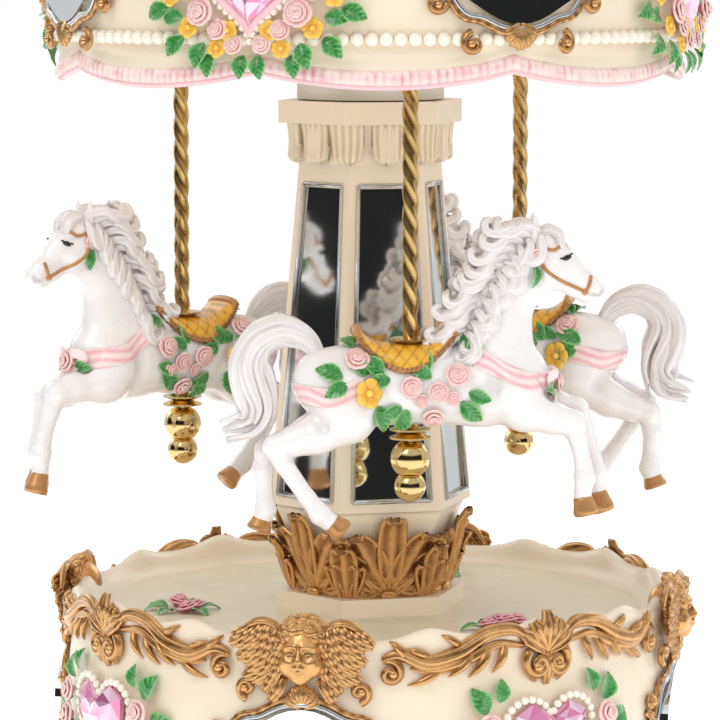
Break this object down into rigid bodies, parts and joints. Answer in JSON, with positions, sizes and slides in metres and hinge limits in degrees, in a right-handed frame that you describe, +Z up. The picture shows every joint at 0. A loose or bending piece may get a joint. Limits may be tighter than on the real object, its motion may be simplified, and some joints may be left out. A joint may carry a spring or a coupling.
{
  "type": "carousel music box",
  "caption": "Carousel music box: a canopy with horses on twisted poles turns about a mirrored column, on a round base that holds the musical movement.",
  "frame": {"origin": "centre of the underside, on the column's axis, level with the felt pads' lower faces", "axes": "+Z up along the drive shaft, -Y towards the front, +X to the front's right"},
  "size_m": [0.217, 0.2094, 0.342],
  "materials": {
    "cream_resin": "cast resin, cream paint, satin",
    "gold_paint": "cast resin, bronze-gold paint",
    "mirror_glass": "polished",
    "pink_gem": "faceted acrylic, polished",
    "ivory_pearl": "pearl lustre",
    "rose_paint": "cast resin, pink paint with a darker wash",
    "leaf_paint": "cast resin, green paint",
    "pink_ruffle": "cast resin, pink paint with a darker wash",
    "hub_plastic": "moulded, satin",
    "polished_brass": "polished",
    "movement_brass": "brushed",
    "steel": "brushed",
    "felt": "felt",
    "fibreboard": "hardboard",
    "pearl_white": "cast resin, pearl white paint"
  },
  "bodies": {
    "base": {"base_shell": "cream_resin", "base_deck": "cream_resin", "bottom_plate": "fibreboard", "bottom_screws": "steel", "felt_pads": "felt", "rim_scrolls": "gold_paint", "base_cherubs": "gold_paint", "base_mirrors": "mirror_glass", "base_mirror_frames": "gold_paint", "base_gems": "pink_gem", "base_gem_pearls": "ivory_pearl", "base_roses": "rose_paint", "base_leaves": "leaf_paint", "deck_roses": "rose_paint", "deck_leaves": "leaf_paint", "column_plinth": "cream_resin", "column_foot": "gold_paint", "column_shaft": "cream_resin", "column_mirrors": "mirror_glass", "column_capital": "cream_resin", "deck_bush": "movement_brass", "top_bush": "movement_brass", "bedplate": "movement_brass", "movement_screws": "steel", "inner_bracket": "movement_brass", "outer_bracket": "movement_brass", "tone_comb": "steel", "comb_screws": "steel"},
    "carousel": {"spring_barrel": "movement_brass", "mainspring": "steel", "great_wheel": "movement_brass", "drive_shaft": "steel", "turntable_hub": "hub_plastic", "canopy_ceiling": "cream_resin", "canopy_skirt": "cream_resin", "canopy_ruffle": "pink_ruffle", "canopy_pearls": "ivory_pearl", "canopy_mirrors": "mirror_glass", "canopy_mirror_frames": "gold_paint", "canopy_gems": "pink_gem", "canopy_gem_pearls": "ivory_pearl", "canopy_roses": "rose_paint", "canopy_leaves": "leaf_paint", "canopy_roof": "cream_resin", "finial": "gold_paint", "poles": "polished_brass", "pole_nuts": "steel", "dished_washers": "polished_brass", "large_balls": "polished_brass", "small_balls": "polished_brass"},
    "horse_body_1": {"horse_1": "pearl_white"},
    "horse_body_2": {"horse_2": "pearl_white"},
    "horse_body_3": {"horse_3": "pearl_white"},
    "winder": {"winding_arbor": "steel", "winding_key": "movement_brass"},
    "cylinder": {"cylinder_arbor": "steel", "music_cylinder": "movement_brass", "cylinder_wheel": "movement_brass"},
    "governor": {"governor_arbor": "steel", "governor_fan": "movement_brass"}
  },
  "joints": [
    {"name": "canopy_spin", "type": "hinge", "parent": "base", "child": "carousel", "pos_m": [0, 0, 0.2], "axis": [0, 0, 1], "continuous": true},
    {"name": "horse_1_swivel", "type": "hinge", "parent": "carousel", "child": "horse_body_1", "pos_m": [0.01166, -0.06293, 0.136], "axis": [0, 0, 1], "range_deg": [-38.5, 51.5]},
    {"name": "horse_2_swivel", "type": "hinge", "parent": "carousel", "child": "horse_body_2", "pos_m": [0.04867, 0.04156, 0.136], "axis": [0, 0, 1], "range_deg": [-86.5, 3.5]},
    {"name": "horse_3_swivel", "type": "hinge", "parent": "carousel", "child": "horse_body_3", "pos_m": [-0.06033, 0.02136, 0.136], "axis": [0, 0, 1], "range_deg": [-11.5, 78.5]},
    {"name": "key_wind", "type": "hinge", "parent": "base", "child": "winder", "pos_m": [0, 0, 0.01], "axis": [0, 0, 1], "continuous": true},
    {"name": "cylinder_spin", "type": "hinge", "parent": "base", "child": "cylinder", "pos_m": [0.038, 0, 0.0396], "axis": [1, 0, 0], "continuous": true},
    {"name": "governor_spin", "type": "hinge", "parent": "base", "child": "governor", "pos_m": [0.038, 0.012, 0.0396], "axis": [1, 0, 0], "continuous": true}
  ],
  "couplings": [
    {"joint": "cylinder_spin", "follows": "canopy_spin", "ratio": 2.4},
    {"joint": "governor_spin", "follows": "canopy_spin", "ratio": -7.2}
  ]
}
